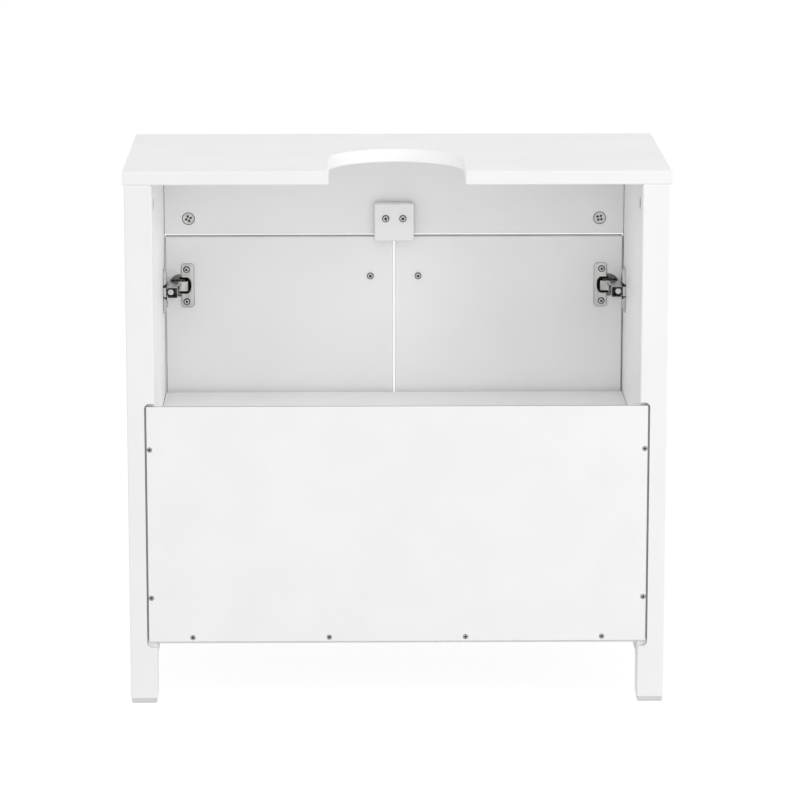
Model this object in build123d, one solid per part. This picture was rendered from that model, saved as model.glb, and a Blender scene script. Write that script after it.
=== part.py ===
from build123d import *
import os
from math import hypot, sqrt

# A cabinet that stands round a wash basin's pedestal: a cut-out top on four square legs, two inset doors on
# concealed hinges, a fixed shelf, and a back that is closed only below.
# Millimetres. +Z is up, the doors face -Y, the origin is on the floor in the middle of the overall box.

# ------------------------------------------------------------------ overall
cabinet_width = 600.0            # across the top board
cabinet_depth = 300.0            # top board, front to back
cabinet_height = 600.0           # floor to the top board's upper face

# ------------------------------------------------------------------ top board and its cut-out
top_thickness = 15.0
top_side_overhang = 2.0
top_front_overhang = 3.0
top_edge_chamfer = 1.0
cutout_width = 150.0
cutout_depth = 172.5             # back edge to the middle of the cut-out's half-round end

# ------------------------------------------------------------------ legs and glides
leg_size = 30.0
leg_edge_chamfer = 1.0
glide_size = 28.0
glide_height = 5.0
glide_edge_chamfer = 1.0

# ------------------------------------------------------------------ boards
board_edge_chamfer = 0.6         # arris taken off every board's edges
side_thickness = 15.0
side_floor_gap = 50.0            # floor to the side panel's lower edge
rail_height = 100.0
rail_thickness = 15.0
bottom_thickness = 15.0
bottom_floor_gap = 68.0          # floor to the bottom board's underside
shelf_thickness = 15.0
shelf_top_height = 298.0         # floor to the shelf's upper face
shelf_swing_gap = 1.5            # doors' swinging corner to the shelf's front edge

# ------------------------------------------------------------------ back panel in the rebates of the back legs
panel_thickness = 3.0
panel_height = 267.5
panel_lower_inset = 3.0          # bottom board's underside to the panel's lower edge
rebate_width = 11.0
rebate_depth = 3.5
rebate_side_gap = 2.25           # panel edge to the rebate's wall
rebate_upper_gap = 3.5
rebate_lower_gap = 7.0
rebate_corner_radius = 5.5
panel_screw_edge = 3.0           # panel's side edge to the screw line
panel_screw_top = 48.5           # panel's upper edge to the upper side screw
panel_screw_bottom = 50.0        # panel's lower edge to the lower side screw
panel_screw_inset = 40.0         # legs' inner faces to the first and last screw of the lower edge
panel_screw_count = 4            # along the lower edge

# ------------------------------------------------------------------ doors, knobs and stop block
door_thickness = 15.0
door_edge_chamfer = 1.0
door_side_gap = 1.0
door_centre_gap = 2.2
door_top_gap = 3.3
door_bottom_gap = 2.5
knob_from_edge = 26.75           # door's free edge to the knob's axis
knob_below_top = 46.7
knob_projection = 24.0
knob_radius = 13.0
knob_neck_radius = 5.0
knob_base_radius = 7.5
knob_base_thickness = 2.5
knob_head_thickness = 9.0
knob_rim_bevel = 2.5
knob_dome = 3.5                  # height of the domed front over the rim
stop_width = 46.0
stop_height = 43.6
stop_thickness = 15.0
stop_overlap = 3.0               # how far the block reaches below the doors' upper edge
stop_edge_chamfer = 1.0
stop_screw_pitch = 20.0
stop_screw_rise = 20.0           # rail's lower edge to the screws

# ------------------------------------------------------------------ cams, connecting bolts and dowels
cam_radius = 7.5
cam_floor = 2.5                  # wood left under a cam
cam_side_clearance = 0.1
cam_slot_width = 7.6             # the mouth that the bolt's head enters
cam_recess_width = 2.2           # the cross for the screwdriver
cam_recess_length = 9.0
cam_recess_depth = 1.5
bolt_head_radius = 3.4
bolt_head_length = 3.0
bolt_radius = 3.0
bolt_bore_radius = 3.5
socket_floor = 4.0               # wood left beyond a bolt's thread
fit_clearance = 0.05             # radial room of a peg, thread or pin in its hole
end_clearance = 0.5              # room at the blind end of a hole
rail_cam_setback = 28.5          # joint line to the cam's centre
rail_cam_rise = 18.0             # rail's lower edge to the cam's centre
top_cam_setback = 26.5
top_cam_from_end = 40.0          # leg's outer face, front or back, to the cam's centre
shelf_cam_setback = 28.5
bottom_cam_setback = 28.5
board_cam_from_end = 52.0        # leg's outer face, front or back, to the shelf's and bottom board's cams
dowel_radius = 4.0
dowel_length = 30.0
dowel_floor = 5.0                # wood left above a dowel in the top board
rail_dowel_drop = 40.0           # rail's upper edge to its dowel
side_dowel_margin = 60.0         # side panel's ends to the first and last dowel
side_dowel_count = 2

# ------------------------------------------------------------------ concealed hinges
# Each is built in its own axes: u runs from the cabinet's side into it, v from the doors' front face to the back,
# and w is the height above the hinge's middle.
hinge_from_end = 57.5            # door's end to the hinge's middle
cup_radius = 13.0
cup_tab = 4.6                    # wood between the cup's bore and the door's edge
cup_front_wood = 2.2             # wood left in front of the cup
cup_wall = 0.6
cup_flange_width = 15.0
cup_flange_length = 52.0
cup_flange_thickness = 1.0
cup_flange_lead = 1.0            # cup's middle to the flange's nearer edge
cup_flange_corner = 3.0
cup_screw_pitch = 38.0
cup_screw_offset = 7.0           # cup's middle to the screw line
pin_radius = 1.1
pin_length = 19.6
pin_from_door_edge = 10.5
eye_radius = 1.85                # the arm's rolled eye round the pin
eye_floor_gap = 0.15             # eye to the cup's floor
ear_radius = 2.6
ear_inner = 6.3                  # hinge's middle to the ears that hold the pin
arm_half_width = 5.8
neck_thickness = 4.4
riser_gap = 1.8                  # the arm's riser to the door's back, with the door wide open
riser_thickness = 4.0
bridge_gap = 0.45                # door's swinging corner to the arm's bridge
bridge_thickness = 2.4
arm_wall_gap = 5.4               # cabinet side to the arm
arm_height = 11.2
arm_end = 65.0                   # door front to the arm's rear end
arm_sheet = 1.3
arm_outer_radius = 2.2
arm_inner_radius = 1.2
plate_height = 4.0
plate_wing_length = 52.0
plate_wing_width = 16.0
plate_wing_middle = 50.0         # door front to the middle of the wings
plate_wing_slope = 6.0           # length of the wings' sloping ends
plate_wing_tip = 1.2             # thickness at the wings' tips
plate_tail_width = 15.0
plate_front = 24.0               # door front to the plate's front end
plate_rear = 62.0
plate_screw_pitch = 32.0
saddle_side_gap = 0.15           # saddle to the inside of the arm's channel
saddle_front = 27.0
saddle_rear = 58.0
side_screw_station = 35.0        # door front to the screw through the arm
rear_screw_height = 9.0          # cabinet side to the screw in the saddle's rear end

# ------------------------------------------------------------------ screws: head radius, head height, shank radius, length
panel_screw = (2.5, 1.2, 1.3, 14.0)
cup_screw = (3.7, 1.7, 1.6, 10.5)
plate_screw = (3.4, 1.8, 1.7, 16.0)
knob_screw = (4.0, 2.2, 2.0, 26.0)
stop_screw = (4.0, 2.0, 1.8, 27.0)
side_screw = (2.9, 1.6, 2.0, 10.0)
rear_screw = (3.9, 2.4, 2.0, 13.0)
knob_screw_hole_radius = 2.25

# ------------------------------------------------------------------ places worked out from the sizes
SIDES = {"left": -1, "right": 1}

leg_outer_x = cabinet_width / 2 - top_side_overhang
inner_x = leg_outer_x - leg_size                       # inner faces of legs and side panels
carcass_depth = cabinet_depth - top_front_overhang
overall_depth = carcass_depth + max(knob_projection, top_front_overhang)
back_y = overall_depth / 2
front_y = back_y - carcass_depth                       # front faces of legs, rail and doors

leg_bottom_z = glide_height
leg_top_z = cabinet_height - top_thickness
leg_middle_x = leg_outer_x - leg_size / 2
leg_middle_y = {"back": back_y - leg_size / 2, "front": front_y + leg_size / 2}
side_middle_x = inner_x + side_thickness / 2

rail_bottom_z = leg_top_z - rail_height
rail_back_y = front_y + rail_thickness
rail_middle_y = front_y + rail_thickness / 2
bottom_top_z = bottom_floor_gap + bottom_thickness
bottom_middle_z = bottom_floor_gap + bottom_thickness / 2
shelf_bottom_z = shelf_top_height - shelf_thickness
door_back_y = front_y + door_thickness
rebate_floor_y = back_y - rebate_depth

door_bottom_z = bottom_top_z + door_bottom_gap
door_top_z = rail_bottom_z - door_top_gap
door_free_x = door_centre_gap / 2
door_hinge_x = inner_x - door_side_gap
knob_x = door_free_x + knob_from_edge
knob_z = door_top_z - knob_below_top
hinge_heights = {"lower": door_bottom_z + hinge_from_end, "upper": door_top_z - hinge_from_end}

panel_half_width = inner_x + rebate_width - rebate_side_gap
panel_bottom_z = bottom_floor_gap + panel_lower_inset
panel_top_z = panel_bottom_z + panel_height
panel_back_y = rebate_floor_y + panel_thickness

cup_middle_u = door_side_gap + cup_tab + cup_radius
cup_inner_radius = cup_radius - cup_wall
cup_floor_v = cup_front_wood + cup_wall
pin_u = door_side_gap + pin_from_door_edge
pin_v = cup_floor_v + eye_floor_gap + eye_radius
neck_start_v = pin_v - eye_radius
riser_start_u = pin_u + (door_thickness - pin_v) + riser_gap
riser_end_u = riser_start_u + riser_thickness
swing_radius = hypot(pin_from_door_edge, door_thickness - pin_v)
shelf_front_y = front_y + pin_v + swing_radius + shelf_swing_gap
bridge_start_v = pin_v + swing_radius + bridge_gap
bridge_end_v = bridge_start_v + bridge_thickness
arm_top_u = arm_wall_gap + arm_height
saddle_top_u = arm_top_u - arm_sheet
saddle_half_width = arm_half_width - arm_sheet - saddle_side_gap

pieces = {}


# ------------------------------------------------------------------ helpers
def block(x, y, z):
    """A plain box between two limits along each axis, given in either order."""
    (x0, x1), (y0, y1), (z0, z1) = sorted(x), sorted(y), sorted(z)
    return Pos((x0 + x1) / 2, (y0 + y1) / 2, (z0 + z1) / 2) * Box(x1 - x0, y1 - y0, z1 - z0)


def board(x, y, z, arris=board_edge_chamfer):
    """A board with the arris taken off all its edges."""
    blank = block(x, y, z)
    return chamfer(blank.edges(), arris)


def rod(start, end, radius):
    """A round bar or bore between two points."""
    run = Vector(*end) - Vector(*start)
    bar = Cylinder(radius, run.length, align=(Align.CENTER, Align.CENTER, Align.MIN))
    return Plane(origin=start, z_dir=run) * bar


def screw(point, outward, size, sunk=False):
    """A screw whose head sits on a face at point, or is sunk flush into it, with its axis along outward."""
    head_radius, head_height, shank_radius, length = size
    if sunk:
        outline = [(0, 0), (head_radius, 0), (shank_radius, -head_height)]
    else:
        outline = [(0, head_height), (head_radius, head_height), (head_radius, 0), (shank_radius, 0)]
    outline += [(shank_radius, -length), (0, -length)]
    profile = Plane.XZ * make_face(Polyline(*outline, close=True))
    return Plane(origin=point, z_dir=outward) * revolve(profile, Axis.Z)


def screw_hole(point, outward, size, clearance=fit_clearance, sunk=False):
    """The hole that a screw of this size fills, with its countersink where the head is sunk."""
    head_radius, head_height, shank_radius, length = size
    inward = Vector(*outward) * -1
    bore = rod(point, Vector(*point) + inward * (length + end_clearance), shank_radius + clearance)
    if not sunk:
        return bore
    mouth = Cone(shank_radius + clearance, head_radius + clearance, head_height,
                 align=(Align.CENTER, Align.CENTER, Align.MAX))
    return bore + Plane(origin=point, z_dir=outward) * mouth


def group(solids):
    """Like pieces that share one node, as separate solids."""
    return Compound(children=list(solids))


class CamJoint:
    """A cam let into one board's face, which pulls on a bolt screwed into the next board."""

    def __init__(self, centre, face, toward, setback, thickness, receiver):
        self.place = Plane(origin=centre, x_dir=toward, z_dir=face)
        self.setback = setback
        self.axis_depth = thickness / 2
        self.bore_depth = thickness - cam_floor
        self.thread_length = receiver - socket_floor

    def along(self, start, end, radius):
        return self.place * rod((start, 0, -self.axis_depth), (end, 0, -self.axis_depth), radius)

    def bores(self):
        """The cam's round pocket and the bolt's bore from the board's end."""
        pocket = self.place * rod((0, 0, -self.bore_depth), (0, 0, 0), cam_radius)
        return [pocket, self.along(0, self.setback, bolt_bore_radius)]

    def socket(self):
        end = self.setback + self.thread_length + end_clearance
        return self.along(self.setback, end, bolt_radius + fit_clearance)

    def cam(self):
        height = self.bore_depth - end_clearance
        body = rod((0, 0, -height), (0, 0, 0), cam_radius - cam_side_clearance)
        mouth = block((-cam_slot_width / 2, 2 * cam_radius), (-cam_slot_width / 2, cam_slot_width / 2),
                      (-self.axis_depth - cam_slot_width / 2, -self.axis_depth + cam_slot_width / 2))
        half_length, half_width = cam_recess_length / 2, cam_recess_width / 2
        cross = [block((-a, a), (-b, b), (-cam_recess_depth, cam_recess_depth))
                 for a, b in ((half_length, half_width), (half_width, half_length))]
        return self.place * (body - mouth - cross)

    def bolt(self):
        half_head = bolt_head_length / 2
        return (self.along(-half_head, half_head, bolt_head_radius)
                + self.along(half_head, self.setback + self.thread_length, bolt_radius))


class DowelJoint:
    """A wooden dowel across a joint line at point, with so much of it behind that line."""

    def __init__(self, point, direction, behind=dowel_length / 2):
        self.direction = Vector(*direction)
        self.start = Vector(*point) - self.direction * behind
        self.end = self.start + self.direction * dowel_length

    def dowel(self):
        return rod(self.start, self.end, dowel_radius)

    def bore(self):
        room = self.direction * end_clearance
        return rod(self.start - room, self.end + room, dowel_radius + fit_clearance)


# ------------------------------------------------------------------ where the boards are joined
cam_ends = {"back": back_y - top_cam_from_end, "front": front_y + top_cam_from_end}
board_cam_ends = {"back": back_y - board_cam_from_end, "front": front_y + board_cam_from_end}

top_cams, rail_cams, shelf_cams, bottom_cams = ({} for _ in range(4))
top_dowels, rail_dowels, bottom_dowels, side_dowels = ({} for _ in range(4))
side_dowel_span = leg_top_z - side_floor_gap - 2 * side_dowel_margin
side_dowel_step = side_dowel_span / (side_dowel_count - 1)

for name, side in SIDES.items():
    outward, inward = (side, 0, 0), (-side, 0, 0)
    top_cams[name] = [
        CamJoint((side * inner_x, y, leg_top_z - top_cam_setback), inward, (0, 0, 1),
                 top_cam_setback, side_thickness, top_thickness)
        for y in cam_ends.values()]
    rail_cams[name] = [
        CamJoint((side * (inner_x - rail_cam_setback), rail_back_y, rail_bottom_z + rail_cam_rise), (0, 1, 0),
                 outward, rail_cam_setback, rail_thickness, side_thickness)]
    shelf_cams[name] = [
        CamJoint((side * (inner_x - shelf_cam_setback), y, shelf_bottom_z), (0, 0, -1), outward,
                 shelf_cam_setback, shelf_thickness, side_thickness)
        for y in board_cam_ends.values()]
    bottom_cams[name] = [
        CamJoint((side * (inner_x - bottom_cam_setback), y, bottom_floor_gap), (0, 0, -1), outward,
                 bottom_cam_setback, bottom_thickness, side_thickness)
        for y in board_cam_ends.values()]
    top_dowels[name] = {
        end: DowelJoint((side * leg_middle_x, y, leg_top_z), (0, 0, -1), top_thickness - dowel_floor)
        for end, y in leg_middle_y.items()}
    rail_dowels[name] = DowelJoint((side * inner_x, rail_middle_y, leg_top_z - rail_dowel_drop), outward)
    bottom_dowels[name] = {
        end: DowelJoint((side * inner_x, y, bottom_middle_z), outward)
        for end, y in leg_middle_y.items()}
    side_dowels[name] = {
        end: [DowelJoint((side * side_middle_x, y, side_floor_gap + side_dowel_margin + i * side_dowel_step),
                         (0, 1, 0))
              for i in range(side_dowel_count)]
        for end, y in (("back", back_y - leg_size), ("front", front_y + leg_size))}

# Back panel screws: point on the panel's outer face, and whether it goes into a leg or the bottom board.
panel_screw_x = panel_half_width - panel_screw_edge
leg_screw_points = {
    name: [(side * panel_screw_x, panel_back_y, z)
           for z in (panel_bottom_z + panel_screw_bottom, panel_top_z - panel_screw_top)]
    for name, side in SIDES.items()}
panel_screw_reach = inner_x - panel_screw_inset
bottom_screw_points = [
    ((2 * i / (panel_screw_count - 1) - 1) * panel_screw_reach, panel_back_y, bottom_middle_z)
    for i in range(panel_screw_count)]
panel_screw_points = leg_screw_points["left"] + leg_screw_points["right"] + bottom_screw_points
stop_back_y = rail_back_y + stop_thickness
stop_screw_points = [(x, stop_back_y, rail_bottom_z + stop_screw_rise)
                     for x in (-stop_screw_pitch / 2, stop_screw_pitch / 2)]
BACKWARD = (0, 1, 0)


def hinge_place(side, height):
    """The hinge's own axes u, v, w set against the cabinet's inner side at this height."""
    return Plane(origin=(side * inner_x, front_y, height), x_dir=(-side, 0, 0), z_dir=(0, 0, -side))


hinges = {(name, level): hinge_place(side, z) for name, side in SIDES.items() for level, z in hinge_heights.items()}
cup_screw_spots = [(cup_middle_u + cup_screw_offset, door_thickness + cup_flange_thickness, w)
                   for w in (-cup_screw_pitch / 2, cup_screw_pitch / 2)]
plate_screw_spots = [(plate_height, plate_wing_middle, w)
                     for w in (-plate_screw_pitch / 2, plate_screw_pitch / 2)]


# ------------------------------------------------------------------ carcass
def top_board():
    """The top with its pedestal cut-out: straight sides and a half-round end."""
    half = cutout_width / 2
    end_y = back_y - cutout_depth
    side_y, past_y = end_y + half, back_y + half
    mouth = make_face(
        Polyline((-half, side_y), (-half, past_y), (half, past_y), (half, side_y))
        + ThreePointArc((half, side_y), (0, end_y), (-half, side_y)))
    blank = Pos(0, back_y - cabinet_depth / 2) * Rectangle(cabinet_width, cabinet_depth)
    top = extrude(Pos(0, 0, leg_top_z) * (blank - mouth), top_thickness)
    rims = top.edges().filter_by_position(Axis.Z, leg_top_z, leg_top_z) \
        + top.edges().filter_by_position(Axis.Z, cabinet_height, cabinet_height)
    top = chamfer(rims, top_edge_chamfer)
    bores = [dowel.bore() for joints in top_dowels.values() for dowel in joints.values()]
    return top - bores - [joint.socket() for joints in top_cams.values() for joint in joints]


def leg(name, end):
    """A square leg. The back ones have a milled rebate for the back panel."""
    side = SIDES[name]
    middle_y = leg_middle_y[end]
    half = leg_size / 2
    post = board((side * inner_x, side * leg_outer_x), (middle_y - half, middle_y + half),
                 (leg_bottom_z, leg_top_z), leg_edge_chamfer)
    bores = [top_dowels[name][end].bore(), bottom_dowels[name][end].bore()]
    bores += [dowel.bore() for dowel in side_dowels[name][end]]
    if end == "front":
        bores += [rail_dowels[name].bore(), rail_cams[name][0].socket()]
    else:
        low, high = panel_bottom_z - rebate_lower_gap, panel_top_z + rebate_upper_gap
        width = 2 * rebate_width
        rebate = Pos(side * (inner_x + rebate_width - width / 2), 0, (low + high) / 2) \
            * (Plane.XZ * RectangleRounded(width, high - low, rebate_corner_radius))
        bores.append(Pos(0, rebate_floor_y, 0) * extrude(rebate, -2 * rebate_depth))
        bores += [screw_hole(point, BACKWARD, panel_screw, sunk=True) for point in leg_screw_points[name]]
    return post - bores


def side_panel(name):
    side = SIDES[name]
    panel = board((side * inner_x, side * (inner_x + side_thickness)), (front_y + leg_size, back_y - leg_size),
                  (side_floor_gap, leg_top_z))
    bores = [dowel.bore() for dowels in side_dowels[name].values() for dowel in dowels]
    bores += [bore for joint in top_cams[name] for bore in joint.bores()]
    bores += [joint.socket() for joint in shelf_cams[name] + bottom_cams[name]]
    bores += [hinges[name, level] * screw_hole(spot, (1, 0, 0), plate_screw)
              for level in hinge_heights for spot in plate_screw_spots]
    return panel - bores


def front_rail():
    rail = board((-inner_x, inner_x), (front_y, rail_back_y), (rail_bottom_z, leg_top_z))
    bores = [bore for joints in rail_cams.values() for joint in joints for bore in joint.bores()]
    bores += [dowel.bore() for dowel in rail_dowels.values()]
    bores += [screw_hole(point, BACKWARD, stop_screw) for point in stop_screw_points]
    return rail - bores


def bottom_board():
    panel = board((-inner_x, inner_x), (front_y, rebate_floor_y), (bottom_floor_gap, bottom_top_z))
    bores = [bore for joints in bottom_cams.values() for joint in joints for bore in joint.bores()]
    bores += [dowel.bore() for dowels in bottom_dowels.values() for dowel in dowels.values()]
    bores += [screw_hole(point, BACKWARD, panel_screw, sunk=True) for point in bottom_screw_points]
    return panel - bores


def shelf():
    panel = board((-inner_x, inner_x), (shelf_front_y, rebate_floor_y), (shelf_bottom_z, shelf_top_height))
    return panel - [bore for joints in shelf_cams.values() for joint in joints for bore in joint.bores()]


def back_panel():
    sheet = block((-panel_half_width, panel_half_width), (rebate_floor_y, panel_back_y),
                  (panel_bottom_z, panel_top_z))
    return sheet - [screw_hole(point, BACKWARD, panel_screw, sunk=True) for point in panel_screw_points]


def glide(name, end):
    """A square glide under a leg."""
    half = glide_size / 2
    middle_x, middle_y = SIDES[name] * leg_middle_x, leg_middle_y[end]
    pad = block((middle_x - half, middle_x + half), (middle_y - half, middle_y + half), (0, glide_height))
    outer = pad.edges().filter_by(Axis.Z) + pad.edges().filter_by_position(Axis.Z, 0, 0)
    return chamfer(outer, glide_edge_chamfer)


pieces["top_board"] = top_board()
for end in ("back", "front"):
    for name in SIDES:
        pieces[f"{name}_{end}_leg"] = leg(name, end)
        pieces[f"{name}_{end}_glide"] = glide(name, end)
for name in SIDES:
    pieces[f"{name}_side_panel"] = side_panel(name)
pieces["front_rail"] = front_rail()
pieces["bottom_board"] = bottom_board()
pieces["shelf"] = shelf()
pieces["back_panel"] = back_panel()
pieces["back_panel_screws"] = group(screw(point, BACKWARD, panel_screw, sunk=True) for point in panel_screw_points)

# ------------------------------------------------------------------ connectors
for label, joints in (("top", top_cams), ("rail", rail_cams), ("shelf", shelf_cams), ("bottom", bottom_cams)):
    both = joints["left"] + joints["right"]
    pieces[f"{label}_cams"] = group(joint.cam() for joint in both)
    pieces[f"{label}_connecting_bolts"] = group(joint.bolt() for joint in both)
pieces["top_dowels"] = group(joint.dowel() for ends in top_dowels.values() for joint in ends.values())
pieces["rail_dowels"] = group(joint.dowel() for joint in rail_dowels.values())
pieces["bottom_dowels"] = group(joint.dowel() for ends in bottom_dowels.values() for joint in ends.values())
pieces["side_dowels"] = group(
    joint.dowel() for ends in side_dowels.values() for joints in ends.values() for joint in joints)


# ------------------------------------------------------------------ door stop
def door_stop_block():
    low = door_top_z - stop_overlap
    body = board((-stop_width / 2, stop_width / 2), (rail_back_y, stop_back_y), (low, low + stop_height),
                 stop_edge_chamfer)
    return body - [screw_hole(point, BACKWARD, stop_screw) for point in stop_screw_points]


pieces["door_stop_block"] = door_stop_block()
pieces["stop_block_screws"] = group(screw(point, BACKWARD, stop_screw) for point in stop_screw_points)


# ------------------------------------------------------------------ doors and knobs
def door(name):
    """An inset slab door with its two cup bores and the knob's hole."""
    side = SIDES[name]
    leaf = board((side * door_free_x, side * door_hinge_x), (front_y, door_back_y), (door_bottom_z, door_top_z),
                 door_edge_chamfer)
    bores = [rod((side * knob_x, front_y, knob_z), (side * knob_x, door_back_y, knob_z), knob_screw_hole_radius)]
    for level in hinge_heights:
        place = hinges[name, level]
        bores.append(place * rod((cup_middle_u, cup_front_wood, 0), (cup_middle_u, door_thickness, 0), cup_radius))
        bores += [place * screw_hole(spot, BACKWARD, cup_screw) for spot in cup_screw_spots]
    return leaf - bores


def knob(name):
    """A turned knob: a low foot, a waist and a flat mushroom head."""
    head_start = knob_projection - knob_head_thickness
    rim_start = head_start + knob_rim_bevel
    rim_end = knob_projection - knob_dome
    dome_radius = (knob_radius ** 2 + knob_dome ** 2) / (2 * knob_dome)
    dome_middle = knob_projection - dome_radius + sqrt(dome_radius ** 2 - (knob_radius / 2) ** 2)
    foot = (knob_base_radius, knob_base_thickness)
    waist = (knob_neck_radius, knob_base_thickness + knob_base_radius - knob_neck_radius)
    collar = (knob_radius - knob_rim_bevel, head_start)
    outline = (
        Polyline((0, knob_projection), (0, 0), (knob_base_radius, 0), foot, waist, collar,
                 (knob_radius, rim_start), (knob_radius, rim_end))
        + ThreePointArc((knob_radius, rim_end), (knob_radius / 2, dome_middle), (0, knob_projection)))
    turned = revolve(Plane.XZ * make_face(outline), Axis.Z)
    thread_depth = knob_screw[3] - door_thickness + end_clearance
    turned -= rod((0, 0, 0), (0, 0, thread_depth), knob_screw[2] + fit_clearance)
    return Plane(origin=(SIDES[name] * knob_x, front_y, knob_z), z_dir=(0, -1, 0)) * turned


# ------------------------------------------------------------------ hinges
def hinge_cup():
    """The cup with its one-sided flange and the two ears that hold the pin."""
    outer = rod((cup_middle_u, cup_front_wood, 0), (cup_middle_u, door_thickness, 0), cup_radius - fit_clearance)
    flange_u = cup_middle_u + cup_flange_lead + cup_flange_width / 2
    flange_face = Plane(origin=(flange_u, door_thickness, 0), x_dir=(1, 0, 0), z_dir=(0, 1, 0)) \
        * RectangleRounded(cup_flange_width, cup_flange_length, cup_flange_corner)
    rim_v = door_thickness + cup_flange_thickness
    cup = outer + extrude(flange_face, cup_flange_thickness)
    cup -= rod((cup_middle_u, cup_floor_v, 0), (cup_middle_u, 2 * rim_v, 0), cup_inner_radius)
    for way in (-1, 1):
        near, far = way * ear_inner, way * cup_radius
        ear = rod((pin_u, pin_v, near), (pin_u, pin_v, far), ear_radius)
        ear += block((pin_u - ear_radius, pin_u + ear_radius), (cup_front_wood, pin_v), (near, far))
        cup += ear & outer
    half_bore = pin_length / 2 + fit_clearance
    cup -= rod((pin_u, pin_v, -half_bore), (pin_u, pin_v, half_bore), pin_radius + fit_clearance)
    return cup - [screw_hole(spot, BACKWARD, cup_screw) for spot in cup_screw_spots]


def hinge_pin():
    return rod((pin_u, pin_v, -pin_length / 2), (pin_u, pin_v, pin_length / 2), pin_radius)


def hinge_arm():
    """The gooseneck: from the eye in the cup, round the door's swinging edge, to a channel along the side."""
    def strip(u, v):
        return Pos((u[0] + u[1]) / 2, (v[0] + v[1]) / 2) * Rectangle(u[1] - u[0], v[1] - v[0])

    outline = strip((pin_u, riser_end_u), (neck_start_v, neck_start_v + neck_thickness)) \
        + strip((riser_start_u, riser_end_u), (neck_start_v, bridge_end_v)) \
        + strip((arm_wall_gap, riser_end_u), (bridge_start_v, bridge_end_v)) \
        + strip((arm_wall_gap, arm_top_u), (bridge_start_v, arm_end))
    outer = [v for v in outline.vertices() if abs(v.X - riser_end_u) < 0.01]
    outline = fillet(outer, arm_outer_radius)
    inner = [v for v in outline.vertices() if abs(v.X - riser_start_u) < 0.01]
    outline = fillet(inner, arm_inner_radius)
    outline += Pos(pin_u, pin_v) * Circle(eye_radius)
    arm = extrude(Pos(0, 0, -arm_half_width) * outline, 2 * arm_half_width)
    channel = arm_half_width - arm_sheet
    arm -= block((0, saddle_top_u), (bridge_end_v, 2 * arm_end), (-channel, channel))
    arm -= rod((pin_u, pin_v, -arm_half_width), (pin_u, pin_v, arm_half_width), pin_radius + fit_clearance)
    return arm - screw_hole((arm_top_u, side_screw_station, 0), (1, 0, 0), side_screw)


def mounting_plate():
    """The cast plate: wings with sloping ends, a tail under the arm and the saddle inside the arm's channel."""
    half_length, half_width = plate_wing_length / 2, plate_wing_width / 2
    flat = half_length - plate_wing_slope
    wing_profile = Plane(origin=(0, plate_wing_middle - half_width, 0), x_dir=(1, 0, 0), z_dir=(0, 1, 0)) \
        * make_face(Polyline((0, -half_length), (plate_wing_tip, -half_length), (plate_height, -flat),
                             (plate_height, flat), (plate_wing_tip, half_length), (0, half_length), close=True))
    wings = extrude(wing_profile, plate_wing_width)
    tail = block((0, plate_height), (plate_front, plate_rear), (-plate_tail_width / 2, plate_tail_width / 2))
    saddle = block((0, saddle_top_u), (saddle_front, saddle_rear), (-saddle_half_width, saddle_half_width))
    plate = wings + tail + saddle
    plate -= [screw_hole(spot, (1, 0, 0), plate_screw, sunk=True) for spot in plate_screw_spots]
    plate -= screw_hole((arm_top_u, side_screw_station, 0), (1, 0, 0), side_screw)
    return plate - screw_hole((rear_screw_height, saddle_rear, 0), BACKWARD, rear_screw)


cup, arm, plate = hinge_cup(), hinge_arm(), mounting_plate()
for name in SIDES:
    pieces[f"{name}_door"] = door(name)
    pieces[f"{name}_knob"] = knob(name)
    pieces[f"{name}_knob_screw"] = screw((SIDES[name] * knob_x, door_back_y, knob_z), BACKWARD, knob_screw)
    places = [hinges[name, level] for level in hinge_heights]
    for level in hinge_heights:
        pieces[f"{name}_{level}_hinge_cup"] = hinges[name, level] * cup
        pieces[f"{name}_{level}_hinge_arm"] = hinges[name, level] * arm
        pieces[f"{name}_{level}_mounting_plate"] = hinges[name, level] * plate
    pieces[f"{name}_hinge_pins"] = group(place * hinge_pin() for place in places)
    pieces[f"{name}_cup_screws"] = group(
        place * screw(spot, BACKWARD, cup_screw) for place in places for spot in cup_screw_spots)
    pieces[f"{name}_plate_screws"] = group(
        place * screw(spot, (1, 0, 0), plate_screw, sunk=True) for place in places for spot in plate_screw_spots)
pieces["arm_side_screws"] = group(
    place * screw((arm_top_u, side_screw_station, 0), (1, 0, 0), side_screw) for place in hinges.values())
pieces["arm_rear_screws"] = group(
    place * screw((rear_screw_height, saddle_rear, 0), BACKWARD, rear_screw) for place in hinges.values())

# ------------------------------------------------------------------ one file for each piece
os.makedirs("parts", exist_ok=True)
for node, piece in pieces.items():
    export_step(piece, f"parts/{node}.step")
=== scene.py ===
# %% [markdown]
# # A basin cabinet, seen from behind
# This cabinet stands round the pedestal of a wash basin. Its doors face -Y and its half-open back, which
# the camera sees, faces +Y. The boards, legs and doors come exact from the CAD model and only need their
# finishes. Most of the fittings are small and catch the light on their edges, so they are made again here,
# in the same places, with softer edges, recesses and pressed details.

# %% Load the frame
from math import atan2, cos, pi, radians, sin, tan

import bmesh
import bpy
from mathutils import Matrix, Vector


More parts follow.
